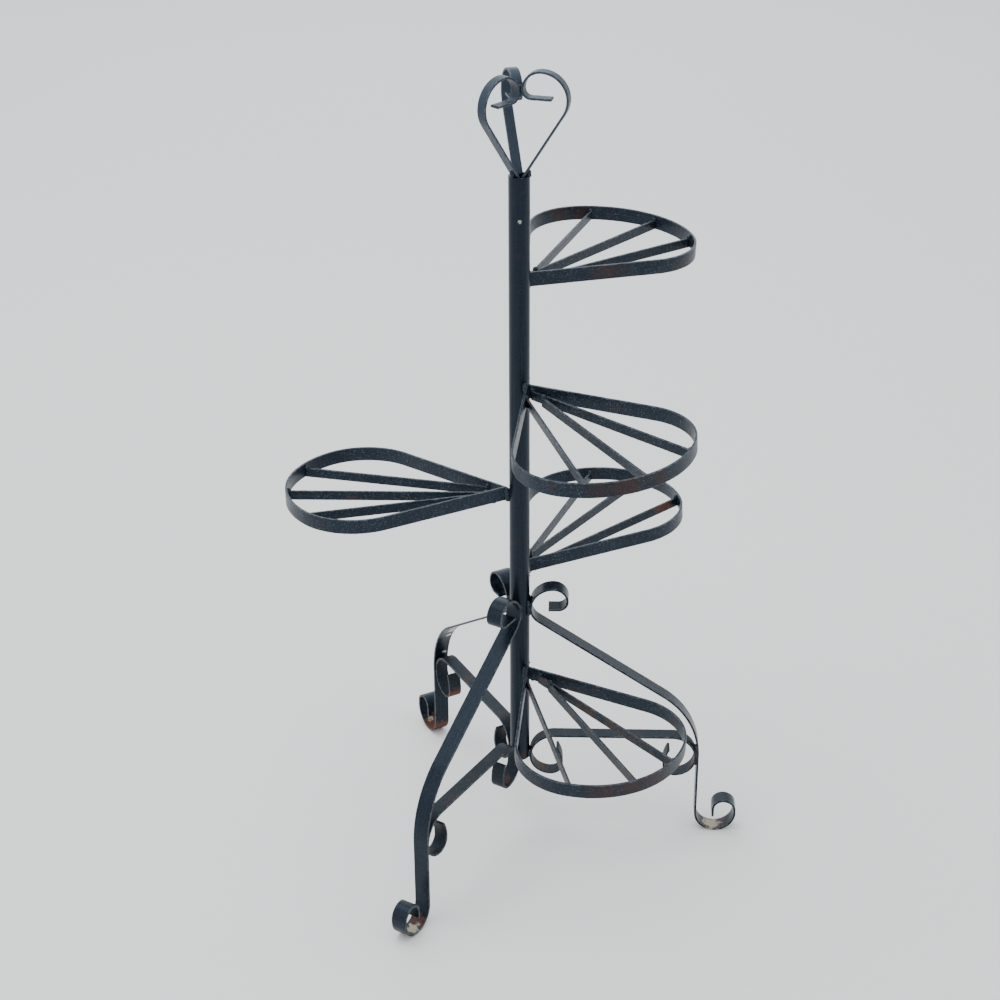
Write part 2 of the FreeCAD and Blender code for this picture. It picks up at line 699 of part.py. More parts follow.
def make_shelf_welds(number):
    """The upright bead between the tube and the hoop's apex, and the blobs on the spokes' ends."""
    hoop, spokes = shelves[number]
    place = shelf_placement(number)
    radius = size("bead_radius")
    width = size("hoop_bar_width")
    beside = (size("post_diameter") / 2 + hoop_apex()) / 2
    column_radius = size("apex_bead_radius")
    # its top stays under the hoop's upper edge, so that a pot can stand on the hoop
    upper = place.multVec(Vector(beside, 0, -size("apex_bead_drop") - column_radius))
    lower = place.multVec(Vector(beside, 0, radius / 2 - width))
    make_welds(f"shelf_{number}_post_weld", [bead(upper, lower, column_radius)], [post, hoop] + spokes)

    spoke_top = size("spoke_bar_width") - width
    end_centre = Vector(size("hoop_reach") - size("hoop_end_radius"), 0, 0)
    inner_radius = size("hoop_end_radius") - size("hoop_bar_thickness") / 2
    blobs = []
    for side in ("left", "middle", "right"):
        beside, along = spoke_line(number, side)
        # the distance along the spoke to the end bend's inner face
        from_centre = beside - end_centre
        abreast = from_centre.dot(along)
        reach = math.sqrt(inner_radius ** 2 - from_centre.Length ** 2 + abreast ** 2) - abreast
        end = beside + along * (reach - radius / 3) + Vector(0, 0, spoke_top + radius / 6)
        blobs.append(bead(place.multVec(end), place.multVec(end), radius))
        # the root's outer corner is tacked to the arm, and the middle spoke's to the left spoke
        outward = -1 if side == "right" else 1
        corner = beside + along * spoke_start(number, side) + Vector(0, 0, spoke_top)
        corner += Vector(-along.y, along.x, 0) * outward * size("spoke_bar_thickness") / 2
        blobs.append(bead(place.multVec(corner), place.multVec(corner), size("root_blob_radius")))
    make_welds(f"shelf_{number}_spoke_welds", blobs, [hoop] + spokes)


for number in shelves:
    make_shelf_welds(number)


def make_leg_welds():
    """Two upright beads behind each leg, in the wedges between its flat bar and the round tube."""
    post_radius = size("post_diameter") / 2
    radius = size("bead_radius")
    aside = size("leg_bar_width") / 2 - size("bead_inset")
    wedge = (post_radius + math.sqrt(post_radius ** 2 - aside ** 2)) / 2
    half = size("bead_length") / 2
    beads = []
    for name, bearing in LEG_BEARINGS.items():
        contact = sheet_value(leg_contact(name))
        place = turned(bearing)
        for side in (-1, 1):
            low = Vector(wedge, side * aside, contact - half)
            high = Vector(wedge, side * aside, contact + half)
            beads.append(bead(place.multVec(low), place.multVec(high), radius))
    make_welds("leg_welds", beads, [post] + list(legs.values()))


def make_brace_welds():
    """Beads beside each brace's curl on the tube, and above and below the other curl on the leg."""
    post_radius = size("post_diameter") / 2
    radius = size("brace_bead_radius")
    contact = size("brace_height") - size("brace_shoulder_radius")
    aside = size("brace_bar_width") / 2 - radius
    wedge = (post_radius + math.sqrt(post_radius ** 2 - aside ** 2)) / 2
    leg_face = size("leg_reach") - size("leg_bar_thickness") / 2
    on_post = []
    on_legs = []
    for bearing in LEG_BEARINGS.values():
        place = turned(bearing)
        for side in (-1, 1):
            low = Vector(wedge, side * aside, contact)
            high = Vector(wedge, side * aside, contact + size("brace_bead_rise"))
            on_post.append(bead(place.multVec(low), place.multVec(high), radius))
            level = contact + side * size("brace_bead_spacing") / 2
            near = Vector(leg_face - radius / 2, -aside, level)
            far = Vector(leg_face - radius / 2, aside, level)
            on_legs.append(bead(place.multVec(near), place.multVec(far), radius))
    carried = list(braces.values())
    make_welds("brace_post_welds", on_post, [post] + carried)
    make_welds("brace_leg_welds", on_legs, list(legs.values()) + carried)


def make_finial_welds():
    """The wedge of filler under each strap on the rim, and the plug that joins the three at the crown."""
    radius = size("bead_radius")
    rim = size("post_diameter") / 2 - size("post_wall") / 2
    low = Vector(rim, 0, size("post_top") + radius / 3)
    high = low + Vector(0, 0, size("rim_bead_rise"))
    on_rim = []
    for name in FINIAL_STRAPS:
        place = turned(size(f"finial_{name}_bearing"))
        on_rim.append(bead(place.multVec(low), place.multVec(high), radius))
    straps = list(finial_straps.values())
    make_welds("finial_rim_welds", on_rim, [post] + straps)
    crowns = [sheet_value(strap_crown(name)) for name in FINIAL_STRAPS]
    plug = bead(Vector(0, 0, min(crowns)), Vector(0, 0, max(crowns)), sheet_value(FINIAL_CROWN_OFFSET))
    make_welds("finial_crown_weld", [plug], straps)


make_leg_welds()
make_brace_welds()
make_finial_welds()
doc.recompute()


# ---------------------------------------------------------------- checks and files

for item in doc.Objects:
    if "Invalid" in item.State or "Error" in item.State:
        raise RuntimeError(f"{item.Label} could not be built")
for node in nodes:
    if node.Shape.isNull() or not node.Shape.isValid() or not node.Shape.Solids:
        raise RuntimeError(f"{node.Label} is not a valid solid")

os.makedirs("parts", exist_ok=True)
for node in nodes:
    node.Shape.exportStep(f"parts/{node.Label}.step")
    print(f"{node.Label}: {len(node.Shape.Solids)} solid, {node.Shape.Volume:.0f} mm3")
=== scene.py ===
"""The looks of a five-tier wrought-iron plant stand, bent from flat bar and welded to a tube.

Metres, +Z up, the tube's axis on Z and the floor at Z = 0, as in the CAD frame.
"""

import json
import math
import random

import bmesh
import bpy
from mathutils import Matrix, Vector, noise


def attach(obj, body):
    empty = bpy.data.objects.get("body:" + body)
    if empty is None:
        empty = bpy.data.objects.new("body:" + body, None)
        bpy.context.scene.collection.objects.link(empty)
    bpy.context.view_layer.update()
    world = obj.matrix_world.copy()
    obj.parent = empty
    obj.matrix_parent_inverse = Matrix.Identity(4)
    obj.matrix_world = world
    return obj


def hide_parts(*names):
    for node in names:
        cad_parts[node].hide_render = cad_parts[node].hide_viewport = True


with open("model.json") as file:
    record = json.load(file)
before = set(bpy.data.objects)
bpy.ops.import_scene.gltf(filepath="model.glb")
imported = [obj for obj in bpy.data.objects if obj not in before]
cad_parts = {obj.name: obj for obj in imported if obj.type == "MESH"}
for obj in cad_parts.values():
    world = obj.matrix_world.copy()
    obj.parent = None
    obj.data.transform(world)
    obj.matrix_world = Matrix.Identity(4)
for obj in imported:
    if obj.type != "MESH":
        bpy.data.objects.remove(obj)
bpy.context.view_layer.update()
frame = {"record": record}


# ---------------------------------------------------------------- camera, light and floor

# The camera stands at a grown person's eye height, 2.3 m in front of the stand, and looks down at it
# through a short telephoto lens. The picture is square. Angles are in degrees, lens and sensor in mm.
CAMERA_PLACE = Vector((0, -2.3455, 1.7692))
LOOKS_DOWN = 28.08
TURNED_LEFT = 0.62
ROLLED = -0.37
SENSOR = 36
LENS = 73.67

camera_data = bpy.data.cameras.new("camera")
camera_data.sensor_width = SENSOR
camera_data.lens = LENS
camera = bpy.data.objects.new("camera", camera_data)
bpy.context.scene.collection.objects.link(camera)
camera.matrix_world = (Matrix.Translation(CAMERA_PLACE)
                       @ Matrix.Rotation(math.radians(TURNED_LEFT), 4, "Z")
                       @ Matrix.Rotation(math.radians(90 - LOOKS_DOWN), 4, "X")
                       @ Matrix.Rotation(math.radians(ROLLED), 4, "Z"))
bpy.context.scene.camera = camera

# Soft studio light: a pale sky all round, a large soft box behind that skims the upward faces, and
# smaller ones overhead and in front.
SKY = (0.92, 0.96, 1.0, 1)
SKY_STRENGTH = 1.35
world = bpy.data.worlds.new("open_shade")
world.use_nodes = True
world.node_tree.nodes["Background"].inputs["Color"].default_value = SKY
world.node_tree.nodes["Background"].inputs["Strength"].default_value = SKY_STRENGTH
bpy.context.scene.world = world


def soft_box(name, place, aim, side, watts, colour):
    """A square soft box that faces a point and is itself out of the picture."""
    data = bpy.data.lights.new(name, "AREA")
    data.shape = "SQUARE"
    data.size = side
    data.energy = watts
    data.color = colour
    light = bpy.data.objects.new(name, data)
    bpy.context.scene.collection.objects.link(light)
    facing = (aim - place).to_track_quat("-Z", "Y").to_matrix().to_4x4()
    light.matrix_world = Matrix.Translation(place) @ facing
    light.visible_camera = False


middle_of_stand = Vector((0, 0, 0.5))
soft_box("behind", Vector((-0.4, 4.2, 2.6)), middle_of_stand, side=3.6, watts=36, colour=(0.74, 0.88, 1.0))
soft_box("overhead", Vector((-0.8, 0.2, 3.6)), middle_of_stand, side=2.4, watts=60, colour=(0.92, 0.96, 1.0))
soft_box("front_left", Vector((-2.6, -2.2, 2.4)), middle_of_stand, side=2.0, watts=10,
         colour=(1.0, 0.98, 0.95))

# A plain pale matt floor, wide enough to fill the picture from the camera's place.
FLOOR_SIDE = 40
FLOOR_COLOUR = (0.83, 0.81, 0.79, 1)
FLOOR_ROUGHNESS = 0.9
floor_mesh = bpy.data.meshes.new("floor")
floor_bm = bmesh.new()
bmesh.ops.create_grid(floor_bm, x_segments=1, y_segments=1, size=FLOOR_SIDE / 2)
floor_bm.to_mesh(floor_mesh)
floor_bm.free()
floor = bpy.data.objects.new("floor", floor_mesh)
bpy.context.scene.collection.objects.link(floor)
floor_material = bpy.data.materials.new("pale_floor")
floor_material.use_nodes = True
floor_shader = floor_material.node_tree.nodes["Principled BSDF"]
floor_shader.inputs["Base Color"].default_value = FLOOR_COLOUR
floor_shader.inputs["Roughness"].default_value = FLOOR_ROUGHNESS
floor_mesh.materials.append(floor_material)


# ---------------------------------------------------------------- the upright tube

# Seamed steel tube with both ends sawn off and left open. It is brushed with blue-black enamel, as
# the whole stand is; the paint shows the mill scale under it, and rust comes through where it is thin.
TUBE_RADIUS = 0.01335
TUBE_WALL = 0.0029
TUBE_BOTTOM = 0.116
TUBE_TOP = 0.959
TUBE_RIM = 0.0007
TUBE_SIDES = 72
TUBE_RING = 0.006
TUBE_RIM_FACETS = 3
MERGE = 0.00001

# the paint's colours, from the fresh enamel to what lies under it
ENAMEL = (0.0050, 0.0076, 0.0135)
SLATE = (0.020, 0.030, 0.042)
# the pale specks' colour: grit in the paint, and painted glints of sky on it
GRIT_AND_GLINT = (0.17, 0.22, 0.28)
BROWN_ENAMEL = (0.034, 0.016, 0.012)
RUST = (0.15, 0.055, 0.028)
RUST_DARK = (0.045, 0.018, 0.011)
BARE_IRON = (0.24, 0.26, 0.29)
LIME_SCALE = (0.50, 0.43, 0.33)
# the pale colour of chips down to the primer, also used for painted highlights
BARE_PRIMER_AND_HIGHLIGHT = (0.66, 0.65, 0.62)
SHEEN_TINT = (0.66, 0.84, 1.0, 1)
PAINT_IOR = 1.42
PAINT_SPECULAR = 0.30

# how fine the paint's patterns are, in waves to a metre: grit, brush hairs' marks, broad clouds and
# ragged edges, and the brush strokes across and along a bar and the tube
GRIT_WAVES = 640
HAIR_WAVES = 1500
CLOUD_WAVES = 34
RAGGED_WAVES = 190
BAR_STROKES = (800, 22)
TUBE_STROKES = (330, 11)

# how high the paint's grit, hair marks, strokes and rust stand, and how far in from a bar's edges its
# arrises start to be rubbed and are rubbed bare
GRIT_HEIGHT = 0.00022
SMOOTH_GRIT_HEIGHT = 0.00008
HAIR_HEIGHT = 0.00006
STROKE_HEIGHT = 0.00005
RUST_HEIGHT = 0.00030
RELIEF = 0.9
RUBBED_ACROSS = 0.0014
RUBBED_THROUGH = 0.0013
RUBBED_BARE = 0.0003


def iron_paint(name, colour=ENAMEL, brown=0.35, rust=0.5, dullness=0.36, specks_and_glints=1.0, bar=None, brown_at=(),
               rust_at=(), lime_at=(), chips_and_highlights_at=()):
    """Brushed enamel on flat bar or tube.

    brown and rust are how much of the surface turns brown or rusts through, and dullness is how matt
    it is, from 0 to 1. specks_and_glints is how gritty it is, about 1 on the shelves: it sets the grit's
    height and the pale specks, which are grit and painted glints of sky. bar is the bar's width and
    thickness, whose arrises are worn. brown_at, rust_at, lime_at and chips_and_highlights_at are
    places: a centre, a radius and a strength each; some of the chips are painted highlights.
    """
    material = bpy.data.materials.new(name)
    material.use_nodes = True
    tree = material.node_tree
    shader = tree.nodes["Principled BSDF"]
    place = tree.nodes.new("ShaderNodeTexCoord").outputs["Object"]

    def put(kind, inputs, **settings):
        made = tree.nodes.new(kind)
        for key, value in settings.items():
            setattr(made, key, value)
        for key, value in inputs.items():
            if isinstance(value, bpy.types.NodeSocket):
                tree.links.new(value, made.inputs[key])
            else:
                made.inputs[key].default_value = value
        return made

    def grain(scale, detail=3.0, roughness=0.55, vector=place):
        return put("ShaderNodeTexNoise", {"Vector": vector, "Scale": scale, "Detail": detail,
                                          "Roughness": roughness}).outputs["Fac"]

    def fade(value, low, high, top=1.0):
        """0 where the value is at low, and top where it is at high."""
        made = put("ShaderNodeMapRange", {"Value": value, "From Min": low, "From Max": high,
                                          "To Min": 0.0, "To Max": top}, interpolation_type="SMOOTHSTEP")
        return made.outputs["Result"]

    def maths(kind, first, second):
        return put("ShaderNodeMath", {0: first, 1: second}, operation=kind).outputs["Value"]

    def blend_colour(amount, under, over):
        made = put("ShaderNodeMix", {}, data_type="RGBA")
        for socket, value in ((0, amount), (6, under), (7, over)):
            if isinstance(value, bpy.types.NodeSocket):
                tree.links.new(value, made.inputs[socket])
            else:
                made.inputs[socket].default_value = (*value, 1) if socket else value
        return made.outputs[2]

    def patches(places, ragged, core=0.5):
        """Ragged patches, full out to the core's share of their radius, joined by their highest value."""
        total = None
        for centre, radius, strength in places:
            away = put("ShaderNodeVectorMath", {0: place, 1: centre}, operation="DISTANCE").outputs["Value"]
            wobble = maths("MULTIPLY", maths("SUBTRACT", ragged, 0.5), 2.6 * radius)
            patch = fade(maths("ADD", away, wobble), radius, core * radius, top=strength)
            total = patch if total is None else maths("MAXIMUM", total, patch)
        return total

    grit = grain(GRIT_WAVES, 3.0, 0.7)
    hairs = grain(HAIR_WAVES, 2.0, 0.6)
    broad = grain(CLOUD_WAVES, 5.0, 0.62)
    ragged = grain(RAGGED_WAVES, 5.0, 0.72)
    if bar:
        section = put("ShaderNodeAttribute", {}, attribute_name="bar").outputs["Vector"]
        across_bar = put("ShaderNodeVectorMath", {0: section, "Scale": BAR_STROKES[0]}, operation="SCALE")
        along_bar = put("ShaderNodeVectorMath", {0: place, "Scale": BAR_STROKES[1]}, operation="SCALE")
        stretched = put("ShaderNodeVectorMath", {0: across_bar.outputs[0], 1: along_bar.outputs[0]},
                        operation="ADD")
    else:
        across, along = TUBE_STROKES
        stretched = put("ShaderNodeVectorMath", {0: place, 1: (across, across, along)}, operation="MULTIPLY")
    streak = grain(1.0, 3.0, 0.6, stretched.outputs[0])

    # brush strokes along the iron leave the enamel thicker and thinner, and it fades to slate
    skin = blend_colour(fade(streak, 0.50, 0.78, top=0.35), colour, SLATE)
    # it turns brown in broad clouds, and rust breaks through them in ragged flecks
    cloud = fade(broad, 0.66 - 0.3 * brown, 0.86 - 0.3 * brown, top=0.9)
    if brown_at:
        cloud = maths("MAXIMUM", cloud, patches(brown_at, ragged, core=0.1))
    flecks = fade(maths("ADD", maths("MULTIPLY", ragged, 0.65), maths("MULTIPLY", broad, 0.35)),
                  0.78 - 0.16 * rust, 0.84 - 0.16 * rust, top=0.8)
    flecks = maths("MAXIMUM", flecks, maths("MULTIPLY", cloud, fade(ragged, 0.52, 0.70, top=0.35)))
    if rust_at:
        flecks = maths("MAXIMUM", flecks, patches(rust_at, ragged))
    rust_colour = blend_colour(fade(grit, 0.35, 0.65), RUST_DARK, RUST)
    skin = blend_colour(cloud, skin, BROWN_ENAMEL)
    # pin holes and grit in the paint show as pale specks, thick in some places and thin in others; the pale
    # specks are also painted glints of sky on the iron
    crowd = fade(broad, 0.30, 0.62, top=0.045)
    speck_and_glint = fade(maths("ADD", grit, crowd), 0.58, 0.70, top=0.40 * specks_and_glints)
    speck_and_glint = maths("MULTIPLY", speck_and_glint, maths("SUBTRACT", 1.0, maths("MULTIPLY", cloud, 0.7)))
    skin = blend_colour(speck_and_glint, skin, GRIT_AND_GLINT)
    skin = blend_colour(flecks, skin, rust_colour)
    rough = maths("ADD", fade(streak, 0.3, 0.8, top=0.12), fade(grit, 0.4, 0.8, top=0.12))
    rough = maths("ADD", rough, dullness - 0.08)
    rough = maths("MAXIMUM", rough, maths("MULTIPLY", flecks, 0.85))
    if bar:
        # the bar's arrises are rubbed through to bright iron here and there
        stock = put("ShaderNodeSeparateXYZ", {0: section}).outputs
        across = maths("ABSOLUTE", stock["Y"], 0.0)
        through = maths("ABSOLUTE", stock["Z"], 0.0)
        edge, face = bar[0] / 2, bar[1] / 2
        arris = maths("MULTIPLY", fade(across, edge - RUBBED_ACROSS, edge - RUBBED_BARE),
                      fade(through, face - RUBBED_THROUGH, face - RUBBED_BARE))
        worn = maths("MULTIPLY", arris, fade(ragged, 0.42, 0.66, top=0.45))
        skin = blend_colour(worn, skin, BARE_IRON)
    # lime scale and chips are laid over the colour, and so are pale patches that are painted highlights
    for places, patch_colour in ((lime_at, LIME_SCALE), (chips_and_highlights_at, BARE_PRIMER_AND_HIGHLIGHT)):
        if places:
            patch_mask = patches(places, ragged)
            skin = blend_colour(patch_mask, skin, patch_colour)
            rough = maths("MAXIMUM", rough, maths("MULTIPLY", patch_mask, 0.9))
    tree.links.new(skin, shader.inputs["Base Color"])
    tree.links.new(rough, shader.inputs["Roughness"])
    shader.inputs["Specular Tint"].default_value = SHEEN_TINT
    shader.inputs["IOR"].default_value = PAINT_IOR
    shader.inputs["Specular IOR Level"].default_value = PAINT_SPECULAR

    height = maths("ADD", maths("MULTIPLY", grit, SMOOTH_GRIT_HEIGHT + GRIT_HEIGHT * specks_and_glints),
                   maths("MULTIPLY", hairs, HAIR_HEIGHT))
    height = maths("ADD", height, maths("MULTIPLY", streak, STROKE_HEIGHT))
    height = maths("ADD", height, maths("MULTIPLY", flecks, maths("MULTIPLY", ragged, RUST_HEIGHT)))
    bump = put("ShaderNodeBump", {"Height": height, "Strength": RELIEF, "Distance": 1.0})
    tree.links.new(bump.outputs["Normal"], shader.inputs["Normal"])
    return material


def knock(bm, depth, size):
    """Sink the surface by up to depth, unevenly, as rolling, bending and brushwork leave it."""
    bm.normal_update()
    moves = [(v, v.normal * (-depth * (0.5 + 0.5 * noise.noise(v.co / size)))) for v in bm.verts]
    for vert, move in moves:
        vert.co += move


def finish_piece(bm, name, material, nodes):
    """Turn a mesh into a shaded piece that rides on the stand in place of CAD nodes."""
    bmesh.ops.recalc_face_normals(bm, faces=bm.faces)
    mesh = bpy.data.meshes.new(name)
    bm.to_mesh(mesh)
    bm.free()
    mesh.materials.append(material)
    mesh.shade_smooth()
    piece = bpy.data.objects.new(name, mesh)
    bpy.context.scene.collection.objects.link(piece)
    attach(piece, "root")
    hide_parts(*nodes)
    return piece


FLATS_WEIGHT = 90


def hold_flats(piece):
    """Keep a bar's or rim's flats flat in the shading, with the roundness in its arrises."""
    weighted = piece.modifiers.new("flats", "WEIGHTED_NORMAL")
    weighted.weight = FLATS_WEIGHT
    weighted.keep_sharp = True


def tube():
    """The wall's outline with rounded rims, spun round the axis."""
    bm = bmesh.new()
    corners = [(TUBE_RADIUS - TUBE_WALL, TUBE_BOTTOM), (TUBE_RADIUS, TUBE_BOTTOM),
               (TUBE_RADIUS, TUBE_TOP), (TUBE_RADIUS - TUBE_WALL, TUBE_TOP)]
    verts = [bm.verts.new((x, 0, z)) for x, z in corners]
    edges = [bm.edges.new((verts[i], verts[(i + 1) % 4])) for i in range(4)]
    rings = int((TUBE_TOP - TUBE_BOTTOM) / TUBE_RING)
    bmesh.ops.bevel(bm, geom=verts + edges, offset=TUBE_RIM, segments=TUBE_RIM_FACETS, affect="VERTICES",
                    profile=0.5, material=-1)
    uprights = [edge for edge in bm.edges if edge.calc_length() > TUBE_RING * 2]
    bmesh.ops.subdivide_edges(bm, edges=uprights, cuts=rings)
    bmesh.ops.spin(bm, geom=bm.verts[:] + bm.edges[:], cent=(0, 0, 0), axis=(0, 0, 1), dvec=(0, 0, 0),
                   angle=math.tau, steps=TUBE_SIDES, use_merge=True)
    bmesh.ops.remove_doubles(bm, verts=bm.verts, dist=MERGE)
    bmesh.ops.recalc_face_normals(bm, faces=bm.faces)
    knock(bm, depth=0.00012, size=0.011)
    lower_rim = Vector((0.004, -TUBE_RADIUS, TUBE_BOTTOM + 0.006))
    scratch = Vector((0.001, -TUBE_RADIUS, 0.905))
    paint = iron_paint("tube_enamel", brown=0.15, rust=0.25, dullness=0.32, specks_and_glints=0.12,
                       brown_at=[(lower_rim, 0.014, 0.9)], chips_and_highlights_at=[(scratch, 0.0028, 0.5)])
    return finish_piece(bm, "upright_tube", paint, ["post"])


hold_flats(tube())


# ---------------------------------------------------------------- the shelf hoops

# Each hoop is one length of flat bar, on edge, bent round a former to a rounded wedge whose two arms
# come together at the tube. All five are alike, and each was welded on a little off level.
HOOP_WIDTH = 0.01905
BAR_THICKNESS = 0.0032
HOOP_REACH = 0.304
HOOP_HALF_WIDTH = 0.113
HOOP_END_RADIUS = 0.125
HOOP_CORNER_RADIUS = 0.082
HOOP_APEX = 0.019
ARRIS = 0.00045
ARRIS_FACETS = 3
CUTS_ACROSS = 5
RING_LENGTH = 0.0014
RING_TURN = 4


class FlatBar:
    """A flat bar that is run out and bent in the order in which a smith would bend it.

    It starts at a point in the XZ plane with its width along Y, and grows from its far end.
    """

    def __init__(self, width, thickness, start, heading):
        self.bm = bmesh.new()
        self.heading = math.radians(heading)
        self.point = Vector((start[0], 0, start[1]))
        corners = [(-width / 2, -thickness / 2), (width / 2, -thickness / 2),
                   (width / 2, thickness / 2), (-width / 2, thickness / 2)]
        verts = [self.bm.verts.new((0, across, through)) for across, through in corners]
        self.bm.faces.new(verts)
        bmesh.ops.bevel(self.bm, geom=verts, offset=ARRIS, segments=ARRIS_FACETS, affect="VERTICES",
                        profile=0.5, material=-1)
        flats = [edge for edge in self.bm.edges if edge.calc_length() > thickness]
        bmesh.ops.subdivide_edges(self.bm, edges=flats, cuts=CUTS_ACROSS)
        # each vertex remembers where it lies in the bar's section, and hands it on as the bar grows
        section = self.bm.verts.layers.float_vector.new("bar")
        for vert in self.bm.verts:
            vert[section] = vert.co
        turn = Matrix.Rotation(-self.heading, 4, "Y")
        bmesh.ops.transform(self.bm, matrix=Matrix.Translation(self.point) @ turn, verts=self.bm.verts)
        self.end = self.bm.verts[:] + self.bm.edges[:] + self.bm.faces[:]

    def run(self, length):
        """Straight on."""
        steps = max(1, round(length / RING_LENGTH))
        move = Vector((math.cos(self.heading), 0, math.sin(self.heading))) * (length / steps)
        for _ in range(steps):
            self.end = bmesh.ops.extrude_face_region(self.bm, geom=self.end)["geom"]
            verts = [part for part in self.end if isinstance(part, bmesh.types.BMVert)]
            bmesh.ops.translate(self.bm, vec=move, verts=verts)
        self.point += move * steps

    def bend(self, radius, degrees):
        """Round a former, the bar's centre line at that radius: to the left if degrees is positive."""
        side = 1 if degrees > 0 else -1
        turn = math.radians(abs(degrees))
        steps = max(2, round(abs(degrees) / RING_TURN), round(radius * turn / RING_LENGTH / 2))
        centre = self.point + Vector((-math.sin(self.heading), 0, math.cos(self.heading))) * radius * side
        self.end = bmesh.ops.spin(self.bm, geom=self.end, cent=centre, axis=(0, -side, 0), dvec=(0, 0, 0),
                                  angle=turn, steps=steps)["geom_last"]
        self.heading += turn * side
        self.point = centre - Vector((-math.sin(self.heading), 0, math.cos(self.heading))) * radius * side


def shelf_plane(number):
    """A shelf's own frame, from its mount: X out from the tube, Z = 0 at the hoop's upper edge."""
    mount = next(m for m in frame["record"]["mounts"] if m["name"] == f"shelf_{number}_top")
    far = Vector(mount["pos_m"])
    up = Vector(mount["axis"])
    middle = Vector((0, 0, far.dot(up) / up.z))
    out = (far - middle).normalized()
    return Matrix.Translation(middle) @ Matrix((out, up.cross(out), up)).transposed().to_4x4()


# The bar lies on its side in the XZ plane as it is bent: this stands it on edge, the upper edge at Z = 0.
STAND_ON_EDGE = Matrix.Rotation(math.radians(90), 4, "X")


def hoop_bends():
    """How far round the end bend a corner bend starts, and the arms' angle and length."""
    corner_y = HOOP_HALF_WIDTH - HOOP_CORNER_RADIUS
    inward = HOOP_END_RADIUS - HOOP_CORNER_RADIUS
    corner_turn = math.asin(corner_y / inward)
    sight = Vector((HOOP_REACH - HOOP_END_RADIUS + inward * math.cos(corner_turn) - HOOP_APEX, corner_y))
    arm_angle = math.atan2(sight.y, sight.x) + math.asin(HOOP_CORNER_RADIUS / sight.length)
    return corner_turn, arm_angle, math.sqrt(sight.length_squared - HOOP_CORNER_RADIUS ** 2)


def hoop(number, material):
    """Half the hoop, from the middle of its far end to the apex, and its mirror image."""
    corner_turn, arm_angle, arm_length = hoop_bends()
    bar = FlatBar(HOOP_WIDTH, BAR_THICKNESS, (HOOP_REACH, 0), 90)
    bar.bend(HOOP_END_RADIUS, math.degrees(corner_turn))
    bar.bend(HOOP_CORNER_RADIUS, 90 + math.degrees(arm_angle - corner_turn))
    bar.run(arm_length + BAR_THICKNESS * 1.5)
    bm = bar.bm
    # the arms are mitred where they meet on the centre line
    bmesh.ops.bisect_plane(bm, geom=bm.verts[:] + bm.edges[:] + bm.faces[:], dist=MERGE / 10,
                           plane_co=(0, 0, 0), plane_no=(0, 0, -1), clear_outer=True)
    on_line = [face for face in bm.faces if all(abs(v.co.z) < MERGE for v in face.verts)]
    bmesh.ops.delete(bm, geom=on_line, context="FACES")
    bmesh.ops.mirror(bm, geom=bm.verts[:] + bm.edges[:] + bm.faces[:], merge_dist=2 * MERGE, axis="Z")
    bmesh.ops.remove_doubles(bm, verts=bm.verts, dist=MERGE)
    bmesh.ops.recalc_face_normals(bm, faces=bm.faces)
    drop = Matrix.Translation((0, 0, -HOOP_WIDTH / 2))
    bmesh.ops.transform(bm, matrix=shelf_plane(number) @ drop @ STAND_ON_EDGE, verts=bm.verts)
    knock(bm, depth=0.00030, size=0.0035)
    hold_flats(finish_piece(bm, f"hoop_{number}", material, [f"shelf_{number}_hoop"]))


# where each hoop has browned or is chipped, in its own plane: metres out from the tube and to the
# left, the patch's radius and its strength
HOOP_BROWN = {
    1: [(0.272, 0.096, 0.026, 0.9), (0.240, 0.104, 0.022, 0.8), (0.105, -0.062, 0.030, 0.7)],
    2: [(0.311, -0.027, 0.034, 1.0), (0.300, -0.060, 0.026, 0.8), (0.306, 0.016, 0.020, 0.7)],
    3: [(0.240, 0.100, 0.016, 0.4)],
    4: [(0.285, 0.070, 0.016, 0.5)],
    5: [(0.302, -0.052, 0.030, 0.9), (0.314, -0.016, 0.032, 1.0), (0.314, 0.022, 0.030, 1.0)],
}
HOOP_CHIPS = {2: [(0.083, -0.051, 0.006, 0.5), (0.125, -0.076, 0.005, 0.4)], 3: [(0.042, -0.022, 0.004, 0.7)]}
# the hoops' paint is a little greyer, and each has turned brown all over to its own degree
HOOP_ENAMEL = (0.0090, 0.0122, 0.0190)
HOOP_BROWNING = {1: 0.40, 2: 0.30, 3: 0.1, 4: 0.15, 5: 0.50}


def on_shelf(number, spots):
    """Places given in a shelf's plane, at half its bar's height."""
    plane = shelf_plane(number)
    return [(plane @ Vector((out, left, -HOOP_WIDTH / 2)), radius, strength)
            for out, left, radius, strength in spots]


def hoop_paint(number):
    """Each hoop's enamel has worn and rusted in its own places."""
    return iron_paint(f"hoop_{number}_enamel", colour=HOOP_ENAMEL, brown=HOOP_BROWNING[number], rust=0.40,
                      bar=(HOOP_WIDTH, BAR_THICKNESS), brown_at=on_shelf(number, HOOP_BROWN[number]),
                      chips_and_highlights_at=on_shelf(number, HOOP_CHIPS.get(number, [])))


for shelf in range(1, 6):
    hoop(shelf, hoop_paint(shelf))


# ---------------------------------------------------------------- the spokes

# Three lengths of narrower bar on edge in each shelf, level with the hoop's lower edge. They were cut
# by eye and tacked by hand: each has its own direction, and passes a little to one side of the point
# that they fan out from. The middle one starts where it has room beside the left one.
SPOKE_WIDTH = 0.0127
SPOKE_FOCUS = 0.018
SPOKE_BITE = 0.0008
SPOKE_END_BITE = 0.0005
